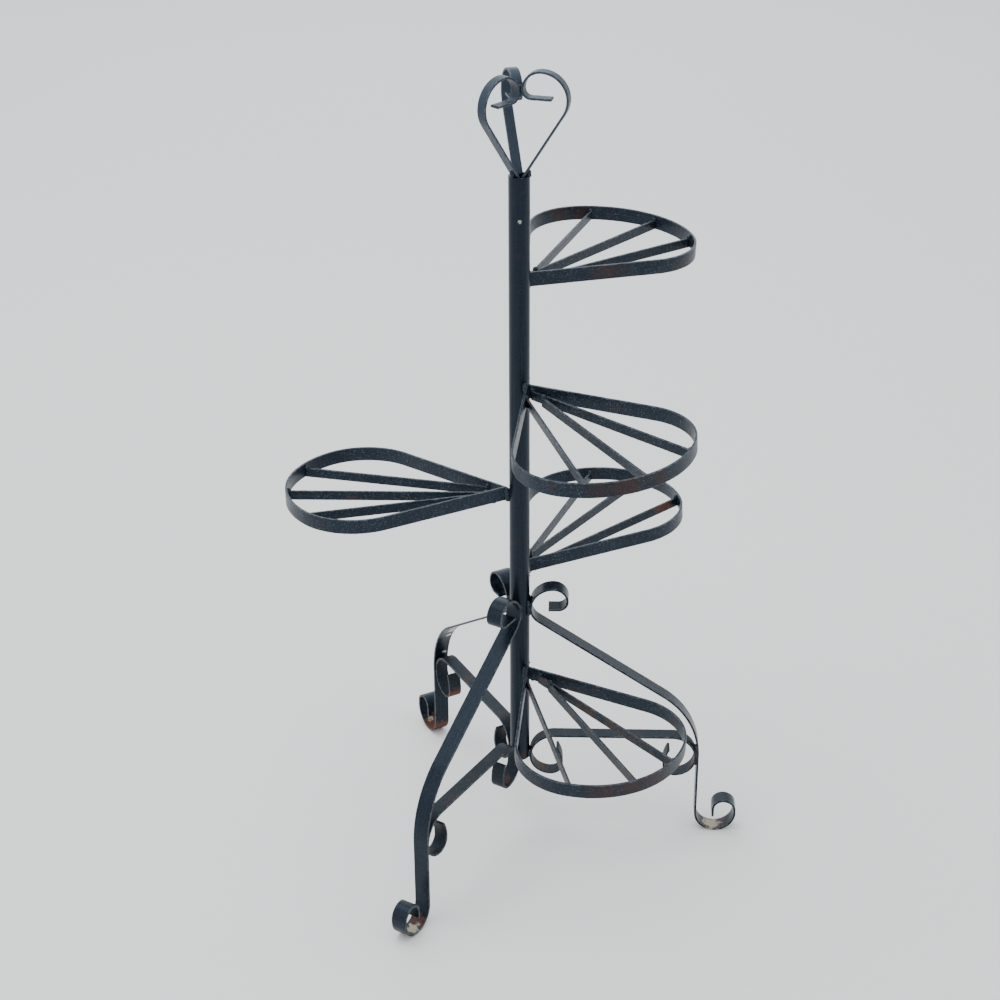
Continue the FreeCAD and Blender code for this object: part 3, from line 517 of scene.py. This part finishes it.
# for each side: degrees from the hoop's middle line, and metres to the left of the fan's point
SPOKES = {
    1: {"left": (16.5, 0.0007), "middle": (-3.0, 0.0073), "right": (-16.2, -0.0049)},
    2: {"left": (17.7, -0.0008), "middle": (0.3, 0.0037), "right": (-12.5, -0.0074)},
    3: {"left": (18.8, -0.0003), "middle": (2.9, 0.0037), "right": (-9.6, -0.0087)},
    4: {"left": (12.3, 0.0100), "middle": (-2.8, 0.0139), "right": (-17.2, -0.0020)},
    5: {"left": (11.9, 0.0048), "middle": (-3.3, 0.0130), "right": (-17.0, -0.0043)},
}
# shelf 2's middle spoke was cut short where it would have met the left one
MIDDLE_CUT = {2: 0.009}
# rust and scratches, placed as on the hoops
SPOKE_RUST = {1: [(0.250, -0.088, 0.010, 0.6)], 2: [(0.048, -0.015, 0.006, 0.7)],
              4: [(0.250, -0.077, 0.013, 0.9), (0.235, -0.072, 0.010, 0.6)]}
SPOKE_CHIPS = {3: [(0.285, 0.006, 0.005, 0.6), (0.261, 0.002, 0.005, 0.5), (0.237, 0.003, 0.004, 0.5)]}
SPOKE_BROWNING = {1: 0.25, 2: 0.25, 3: 0.25, 4: 0.25, 5: 0.7}


def spoke_line(number, side):
    """Where a spoke passes the fan's point, and its direction, in the shelf's plane."""
    degrees, shift = SPOKES[number][side]
    turn = math.radians(degrees)
    return Vector((SPOKE_FOCUS, shift, 0)), Vector((math.cos(turn), math.sin(turn), 0))


def spoke_start(number, side):
    """How far along its line a spoke begins: against the hoop's arm, or beside the left spoke."""
    degrees, shift = SPOKES[number][side]
    half = BAR_THICKNESS / 2
    if side == "middle":
        left_degrees, left_shift = SPOKES[number]["left"]
        turn = math.radians(left_degrees)
        between = turn - math.radians(degrees)
        aside = (shift - left_shift) * math.cos(turn) + half * math.cos(between) + half
        return aside / math.sin(between) + MIDDLE_CUT.get(number, 0)
    hand = 1 if side == "left" else -1
    arm_angle = hoop_bends()[1]
    away = arm_angle - hand * math.radians(degrees)
    inner_tip = HOOP_APEX + half / math.sin(arm_angle)
    aside = (inner_tip - SPOKE_FOCUS) * math.sin(arm_angle) + half * math.cos(away)
    return (aside + hand * shift * math.cos(arm_angle)) / math.sin(away) - SPOKE_BITE


def spoke_reach(number, side):
    """How far along its line a spoke meets the hoop's inner face."""
    beside, along = spoke_line(number, side)
    from_centre = beside - Vector((HOOP_REACH - HOOP_END_RADIUS, 0, 0))
    abreast = from_centre.dot(along)
    inner = HOOP_END_RADIUS - BAR_THICKNESS / 2
    return math.sqrt(inner ** 2 - from_centre.length_squared + abreast ** 2) - abreast


def spoke(number, side, material):
    """One straight length, stood on edge on its line."""
    beside, along = spoke_line(number, side)
    start = spoke_start(number, side)
    bar = FlatBar(SPOKE_WIDTH, BAR_THICKNESS, (start, 0), 0)
    bar.run(spoke_reach(number, side) + SPOKE_END_BITE - start)
    lift = Matrix.Translation(beside + Vector((0, 0, SPOKE_WIDTH / 2 - HOOP_WIDTH)))
    turn = Matrix.Rotation(math.atan2(along.y, along.x), 4, "Z")
    place = shelf_plane(number) @ lift @ turn @ STAND_ON_EDGE
    bmesh.ops.transform(bar.bm, matrix=place, verts=bar.bm.verts)
    knock(bar.bm, depth=0.00028, size=0.0032)
    hold_flats(finish_piece(bar.bm, f"spoke_{number}_{side}", material,
                            [f"shelf_{number}_spoke_{side}"]))


for shelf in range(1, 6):
    spoke_enamel = iron_paint(f"spoke_{shelf}_enamel", brown=SPOKE_BROWNING[shelf], rust=0.4,
                              specks_and_glints=1.1, bar=(SPOKE_WIDTH, BAR_THICKNESS),
                              rust_at=on_shelf(shelf, SPOKE_RUST.get(shelf, [])),
                              chips_and_highlights_at=on_shelf(shelf, SPOKE_CHIPS.get(shelf, [])))
    for spoke_side in ("left", "middle", "right"):
        spoke(shelf, spoke_side, spoke_enamel)


# ---------------------------------------------------------------- the legs

# A leg is one length of wider bar: rolled to a scroll at the head, welded to the tube's side just
# under it, run out and down to a knee, and rolled again into the scroll that it stands on.
LEG_WIDTH = 0.0222
LEG_CONTACT = 0.359
LEG_REACH = 0.246
LEG_SLOPE = 34.5
LEG_BEARINGS = {"right": -1.5, "back_left": 118.5, "front_left": -121.5}
# how much lower two of them were welded on, and how much longer one's rolled end is
LEG_LOWER = {"right": 0, "back_left": 0.002, "front_left": 0.0025}
LONGER_TIP = {"right": 0, "back_left": 0, "front_left": 0.011}
SCROLL_TIP = 0.013
SCROLL_RADII = (0.0125, 0.019, 0.030)
SHOULDER_RADIUS = 0.024
KNEE_RADIUS = 0.115
SOLE_RADIUS = 0.0275
FOOT_RISE = 0.004
FOOT_RADII = (0.0163, 0.014)
FOOT_TAIL = 0.012


def leg_bar(side):
    """A leg in the XZ plane, bent from the free end of its head scroll down to its foot."""
    contact = LEG_CONTACT - LEG_LOWER[side]
    tip = SCROLL_TIP + LONGER_TIP[side]
    seat = TUBE_RADIUS + BAR_THICKNESS / 2
    inner, outer, back = SCROLL_RADII
    start = (seat + back + outer - inner - tip, contact + back - outer - inner)
    swing = 90 - LEG_SLOPE
    turned_out = 1 - math.cos(math.radians(swing))
    dropped = math.sin(math.radians(swing))
    run_out = LEG_REACH - seat - (KNEE_RADIUS + SHOULDER_RADIUS) * turned_out
    knee_foot = (contact - (KNEE_RADIUS + SHOULDER_RADIUS) * dropped
                 - run_out * math.tan(math.radians(LEG_SLOPE)))
    bar = FlatBar(LEG_WIDTH, BAR_THICKNESS, start, 0)
    bar.run(tip)
    for radius in SCROLL_RADII:
        bar.bend(radius, 90)
    bar.bend(SHOULDER_RADIUS, swing)
    bar.run(run_out / math.cos(math.radians(LEG_SLOPE)))
    bar.bend(KNEE_RADIUS, -swing)
    bar.run(knee_foot - BAR_THICKNESS / 2 - SOLE_RADIUS)
    bar.bend(SOLE_RADIUS, 180)
    bar.run(FOOT_RISE)
    for radius in FOOT_RADII:
        bar.bend(radius, 90)
    bar.run(FOOT_TAIL)
    return bar


def around(bearing):
    """The turn about the tube's axis that carries +X to a bearing in degrees."""
    return Matrix.Rotation(math.radians(bearing), 4, "Z")


# where each leg's foot has rusted, and where lime and chips show, in the leg's own upright plane:
# metres out, to the left and up, the patch's radius and its strength. The pale patches on the back
# left leg's knee are painted highlights, not chips.
LEG_RUST = {
    "right": [(0.275, 0.004, 0.004, 0.020, 0.4)],
    "back_left": [(0.273, 0, 0.002, 0.026, 0.9), (0.250, 0, 0.012, 0.020, 0.8)],
    "front_left": [(0.262, 0, 0.006, 0.016, 0.6)],
}
LEG_LIME = {
    "right": [(0.270, 0, 0.005, 0.014, 0.8)],
    "back_left": [(0.285, 0, 0.008, 0.006, 0.6)],
    "front_left": [(0.275, 0.002, 0.006, 0.012, 0.9)],
}
LEG_CHIPS_AND_HIGHLIGHTS = {
    "right": [],
    "back_left": [(0.205, -0.003, 0.212, 0.008, 1.0), (0.217, -0.005, 0.201, 0.007, 1.0),
                  (0.228, -0.005, 0.188, 0.005, 1.0), (0.243, -0.004, 0.150, 0.004, 0.9)],
    "front_left": [(0.015, 0.008, 0.330, 0.002, 0.5)],
}


def on_leg(bearing, spots):
    """Places given in a leg's own plane."""
    return [(around(bearing) @ Vector((out, left, up)), radius, strength)
            for out, left, up, radius, strength in spots]


for side_name, bearing in LEG_BEARINGS.items():
    leg = leg_bar(side_name)
    bmesh.ops.transform(leg.bm, matrix=around(bearing), verts=leg.bm.verts)
    knock(leg.bm, depth=0.00022, size=0.008)
    leg_enamel = iron_paint(f"leg_{side_name}_enamel", brown=0.1, rust=0.3, dullness=0.30, specks_and_glints=0.2,
                            bar=(LEG_WIDTH, BAR_THICKNESS), rust_at=on_leg(bearing, LEG_RUST[side_name]),
                            lime_at=on_leg(bearing, LEG_LIME[side_name]),
                            chips_and_highlights_at=on_leg(bearing, LEG_CHIPS_AND_HIGHLIGHTS[side_name]))
    hold_flats(finish_piece(leg.bm, f"leg_bar_{side_name}", leg_enamel, [f"leg_{side_name}"]))


# ---------------------------------------------------------------- the braces

# A C-scroll of flat bar ties each leg back to the tube's lower end. Its two curls are rolled alike,
# and it touches the tube and the leg only at their outsides, where it is welded.
BRACE_HEIGHT = 0.154
BRACE_SHOULDER = 0.033
BRACE_RADII = (0.028, 0.0155)
BRACE_TIP_RADIUS = 0.050
BRACE_TIP_TURN = 30
BRACE_ENAMEL = (0.006, 0.008, 0.011)
BRACE_RUST = {
    "right": [(0.030, 0, 0.100, 0.012, 0.5)],
    "back_left": [(0.196, 0.004, 0.098, 0.017, 0.9), (0.035, 0, 0.110, 0.016, 0.8)],
    "front_left": [(0.040, 0, 0.100, 0.012, 0.5)],
}


def brace_bar():
    """A brace in the XZ plane: half of it bent from the middle of its level run, then mirrored."""
    outer_seat = LEG_REACH - BAR_THICKNESS / 2
    half = (outer_seat - TUBE_RADIUS) / 2 - BAR_THICKNESS / 2 - BRACE_SHOULDER
    bar = FlatBar(HOOP_WIDTH, BAR_THICKNESS, (0, 0), 0)
    bar.run(half)
    bar.bend(BRACE_SHOULDER, -90)
    for radius in BRACE_RADII:
        bar.bend(radius, -90)
    bar.bend(BRACE_TIP_RADIUS, -BRACE_TIP_TURN)
    bm = bar.bm
    middle = [face for face in bm.faces if all(abs(v.co.x) < MERGE for v in face.verts)]
    bmesh.ops.delete(bm, geom=middle, context="FACES")
    bmesh.ops.mirror(bm, geom=bm.verts[:] + bm.edges[:] + bm.faces[:], merge_dist=2 * MERGE, axis="X")
    bmesh.ops.remove_doubles(bm, verts=bm.verts, dist=MERGE)
    bmesh.ops.recalc_face_normals(bm, faces=bm.faces)
    bmesh.ops.translate(bm, vec=((outer_seat + TUBE_RADIUS) / 2, 0, BRACE_HEIGHT), verts=bm.verts)
    return bm


for side_name, bearing in LEG_BEARINGS.items():
    brace = brace_bar()
    bmesh.ops.transform(brace, matrix=around(bearing), verts=brace.verts)
    knock(brace, depth=0.00022, size=0.006)
    brace_enamel = iron_paint(f"brace_{side_name}_enamel", colour=BRACE_ENAMEL, brown=0.45, rust=0.4,
                              dullness=0.50, specks_and_glints=0.5, bar=(HOOP_WIDTH, BAR_THICKNESS),
                              rust_at=on_leg(bearing, BRACE_RUST[side_name]))
    hold_flats(finish_piece(brace, f"brace_bar_{side_name}", brace_enamel,
                            [f"brace_{side_name}"]))


# ---------------------------------------------------------------- the finial

# Three straps of narrow bar stand in the tube's mouth, each bent by hand to half a heart: up and out,
# over the top, down to the crown where the three are welded together, and out again in a short lip.
FINIAL_WIDTH = 0.0127
FINIAL_CROWN = 0.0223
FINIAL_INNER = 0.0101
FINIAL_OFFSET = 0.005555
FINIAL_LIP = 0.025
FINIAL_TUCK = 0.0015
FINIAL_PLAY = 0.00005
# the straps' colour is lighter than the other bars': their enamel with a painted sheen of the sky
FINIAL_ENAMEL_AND_SHEEN = (0.027, 0.036, 0.050)
# each strap's bearing and slope in degrees, and the radius of its outer bend
FINIAL_STRAPS = {
    "right": (-15, 58.2, 0.0324),
    "back": (105, 55.6, 0.0324),
    "front_left": (-135, 56.2, 0.0332),
}


def strap_sizes(side):
    """How far out a strap's straight run goes, and the height at which it comes nearest the axis."""
    _, degrees, outer = FINIAL_STRAPS[side]
    slope = math.radians(degrees)
    bore = TUBE_RADIUS - TUBE_WALL
    seat = (math.sqrt(bore ** 2 - (FINIAL_WIDTH / 2) ** 2) - FINIAL_PLAY
            - BAR_THICKNESS / 2 / math.sin(slope))
    run_out = FINIAL_OFFSET + FINIAL_CROWN + outer * math.sin(slope) - seat
    top = TUBE_TOP + run_out * math.tan(slope) + outer * (1 + math.cos(slope))
    return run_out, top - FINIAL_CROWN


def strap_bar(side):
    """A strap in the XZ plane, bent from its lip at the crown down to its foot in the tube."""
    _, slope, outer = FINIAL_STRAPS[side]
    run_out, crown = strap_sizes(side)
    tip = (FINIAL_OFFSET + FINIAL_INNER + FINIAL_LIP, crown - FINIAL_INNER)
    bar = FlatBar(FINIAL_WIDTH, BAR_THICKNESS, tip, 180)
    bar.run(FINIAL_LIP)
    for radius in (FINIAL_INNER, FINIAL_CROWN, outer):
        bar.bend(radius, -90)
    bar.bend(outer, slope - 90)
    bar.run(run_out / math.cos(math.radians(slope)) + FINIAL_TUCK)
    return bar.bm


for side_name, (bearing, _, _) in FINIAL_STRAPS.items():
    strap = strap_bar(side_name)
    bmesh.ops.transform(strap, matrix=around(bearing), verts=strap.verts)
    knock(strap, depth=0.00022, size=0.005)
    # the straps' lighter colour is partly painted sheen
    strap_enamel_and_sheen = iron_paint(f"strap_{side_name}_enamel", colour=FINIAL_ENAMEL_AND_SHEEN, brown=0.15, rust=0.2,
                              dullness=0.38, specks_and_glints=0.35, bar=(FINIAL_WIDTH, BAR_THICKNESS))
    hold_flats(finish_piece(strap, f"finial_{side_name}", strap_enamel_and_sheen,
                            [f"finial_strap_{side_name}"]))


# ---------------------------------------------------------------- the welds

# Every joint is arc-welded with a stick electrode, in short lumpy beads that were never ground and
# are painted over. Drips hang under the apexes, and drops of spatter stick to the tube beside them.
WELD_VOXEL = 0.00055
BEAD_RADIUS = 0.0032
APEX_BEAD = 0.0045
APEX_BEAD_DROP = 0.0003
ROOT_BLOB = 0.0038
# drops follow one another at this share of a bead's radius, and wander off its line by this share
DROP_SPACING = 0.55
DROP_WANDER = 0.10
# how many drips and drops of spatter there are, their radii from smallest to largest, and where they
# lie: drips out from the apex, spatter above or below the hoop's upper edge and round the tube
DRIPS = 5
DRIP_RADII = (0.0013, 0.0022)
DRIP_OUT = (0.001, 0.016)
DRIP_RISE = 0.0005
SPATTER = 7
SPATTER_RADII = (0.0008, 0.0014)
SPATTER_LEVEL = (-0.024, 0.005)
SPATTER_ROUND = (-75, 75)
WELD_ENAMEL = (0.012, 0.017, 0.024)
shake = random.Random(7)
weld_enamel = iron_paint("weld_enamel", colour=WELD_ENAMEL, brown=0.3, rust=0.35, dullness=0.28)


def lump(bm, centre, radius, squash=1.0):
    """One drop of filler metal, flattened along Z by squash and set a little askew."""
    tilt = Matrix.Rotation(shake.uniform(0, math.tau), 4, Vector((shake.gauss(0, 1), shake.gauss(0, 1), 1)))
    shape = Matrix.Diagonal((1, 1, squash, 1))
    bmesh.ops.create_icosphere(bm, subdivisions=3, radius=radius,
                               matrix=Matrix.Translation(centre) @ tilt @ shape)


def lay_bead(bm, start, end, radius):
    """A run of filler: overlapping drops from start to end, each a little off the line."""
    length = (end - start).length
    drops = max(2, round(length / (DROP_SPACING * radius)))
    for index in range(drops + 1):
        centre = start.lerp(end, index / drops)
        off = Vector((shake.gauss(0, 1), shake.gauss(0, 1), shake.gauss(0, 1))) * (DROP_WANDER * radius)
        lump(bm, centre + off, radius * shake.uniform(0.82, 1.08), shake.uniform(0.8, 1.0))


def weld_piece(bm, name, nodes):
    """Fuse the drops into one skin."""
    piece = finish_piece(bm, name, weld_enamel, nodes)
    fuse = piece.modifiers.new("fuse", "REMESH")
    fuse.mode = "VOXEL"
    fuse.voxel_size = WELD_VOXEL
    fuse.use_smooth_shade = True
    soften = piece.modifiers.new("soften", "SMOOTH")
    soften.factor = 0.5
    soften.iterations = 2


def drips_and_spatter(bm, plane):
    """Drips on the lower edges of a hoop's arms near its apex, and drops on the tube beside it."""
    for _ in range(DRIPS):
        out = shake.uniform(*DRIP_OUT)
        side = shake.choice((-1, 1)) * math.tan(hoop_bends()[1])
        spot = Vector((HOOP_APEX + out, side * out, DRIP_RISE - HOOP_WIDTH))
        lump(bm, plane @ spot, shake.uniform(*DRIP_RADII))
    outward = plane.to_3x3() @ Vector((1, 0, 0))
    bearing = math.degrees(math.atan2(outward.y, outward.x))
    level = plane.to_translation().z
    for _ in range(SPATTER):
        spot = Vector((TUBE_RADIUS, 0, level + shake.uniform(*SPATTER_LEVEL)))
        lump(bm, around(bearing + shake.uniform(*SPATTER_ROUND)) @ spot, shake.uniform(*SPATTER_RADII))


for shelf in range(1, 6):
    plane = shelf_plane(shelf)
    # a column of filler between the tube and the apex of the hoop
    between = (TUBE_RADIUS + HOOP_APEX) / 2
    column = bmesh.new()
    lay_bead(column, plane @ Vector((between, 0, -APEX_BEAD - APEX_BEAD_DROP)),
             plane @ Vector((between, 0, BEAD_RADIUS / 2 - HOOP_WIDTH)), APEX_BEAD)
    drips_and_spatter(column, plane)
    weld_piece(column, f"apex_weld_{shelf}", [f"shelf_{shelf}_post_weld"])

    # one drop on each spoke's end and one beside its root
    tacks = bmesh.new()
    for tack_side in SPOKES[shelf]:
        spot, along = spoke_line(shelf, tack_side)
        spot.z = SPOKE_WIDTH - HOOP_WIDTH
        end_spot = spot + along * (spoke_reach(shelf, tack_side) - BEAD_RADIUS / 3)
        lump(tacks, plane @ (end_spot + Vector((0, 0, BEAD_RADIUS / 6))), BEAD_RADIUS)
        outward = -1 if tack_side == "right" else 1
        root_spot = spot + along * spoke_start(shelf, tack_side)
        root_spot += Vector((-along.y, along.x, 0)) * outward * BAR_THICKNESS / 2
        lump(tacks, plane @ root_spot, ROOT_BLOB)
    weld_piece(tacks, f"spoke_tacks_{shelf}", [f"shelf_{shelf}_spoke_welds"])


def wedge_beads(bm, bearing, aside, low, high, radius):
    """Upright beads on both sides of a bar that bears on the round tube."""
    seat = (TUBE_RADIUS + math.sqrt(TUBE_RADIUS ** 2 - aside ** 2)) / 2
    for side in (-1, 1):
        lay_bead(bm, around(bearing) @ Vector((seat, side * aside, low)),
                 around(bearing) @ Vector((seat, side * aside, high)), radius)


# the legs' and the braces' beads on the tube
LEG_BEAD_REACH = 0.009
BRACE_BEAD = 0.8 * BEAD_RADIUS
BRACE_BEAD_RISE = 0.0045
brace_contact = BRACE_HEIGHT - BRACE_SHOULDER
leg_beads = bmesh.new()
tube_beads = bmesh.new()
for side_name, bearing in LEG_BEARINGS.items():
    leg_contact = LEG_CONTACT - LEG_LOWER[side_name]
    wedge_beads(leg_beads, bearing, LEG_WIDTH / 2 - BRACE_BEAD, leg_contact - LEG_BEAD_REACH,
                leg_contact + LEG_BEAD_REACH, BEAD_RADIUS)
    wedge_beads(tube_beads, bearing, HOOP_WIDTH / 2 - BRACE_BEAD, brace_contact,
                brace_contact + BRACE_BEAD_RISE, BRACE_BEAD)
weld_piece(leg_beads, "leg_beads", ["leg_welds"])
weld_piece(tube_beads, "brace_tube_beads", ["brace_post_welds"])

# two beads across each brace's outside, where it bears on the leg's shank
SHANK_BEAD_SPACING = 0.0216
shank_beads = bmesh.new()
for bearing in LEG_BEARINGS.values():
    for side in (-1, 1):
        bead_x = LEG_REACH - BAR_THICKNESS / 2 - BRACE_BEAD / 2
        bead_z = brace_contact + side * SHANK_BEAD_SPACING / 2
        bead_y = HOOP_WIDTH / 2 - BRACE_BEAD
        lay_bead(shank_beads, around(bearing) @ Vector((bead_x, -bead_y, bead_z)),
                 around(bearing) @ Vector((bead_x, bead_y, bead_z)), BRACE_BEAD)
weld_piece(shank_beads, "brace_shank_beads", ["brace_leg_welds"])

# a bead on the tube's rim against each strap's outer face
RIM_BEAD_RISE = 0.004
rim_spot = Vector((TUBE_RADIUS - TUBE_WALL / 2, 0, TUBE_TOP + BEAD_RADIUS / 3))
rim_beads = bmesh.new()
for bearing, _, _ in FINIAL_STRAPS.values():
    lay_bead(rim_beads, around(bearing) @ rim_spot,
             around(bearing) @ (rim_spot + Vector((0, 0, RIM_BEAD_RISE))), BEAD_RADIUS)
weld_piece(rim_beads, "rim_beads", ["finial_rim_welds"])

# a plug that fills the crown between the three straps
crowns = [strap_sizes(side_name)[1] for side_name in FINIAL_STRAPS]
crown_plug = bmesh.new()
lay_bead(crown_plug, Vector((0, 0, min(crowns))), Vector((0, 0, max(crowns))), FINIAL_OFFSET)
weld_piece(crown_plug, "crown_plug", ["finial_crown_weld"])
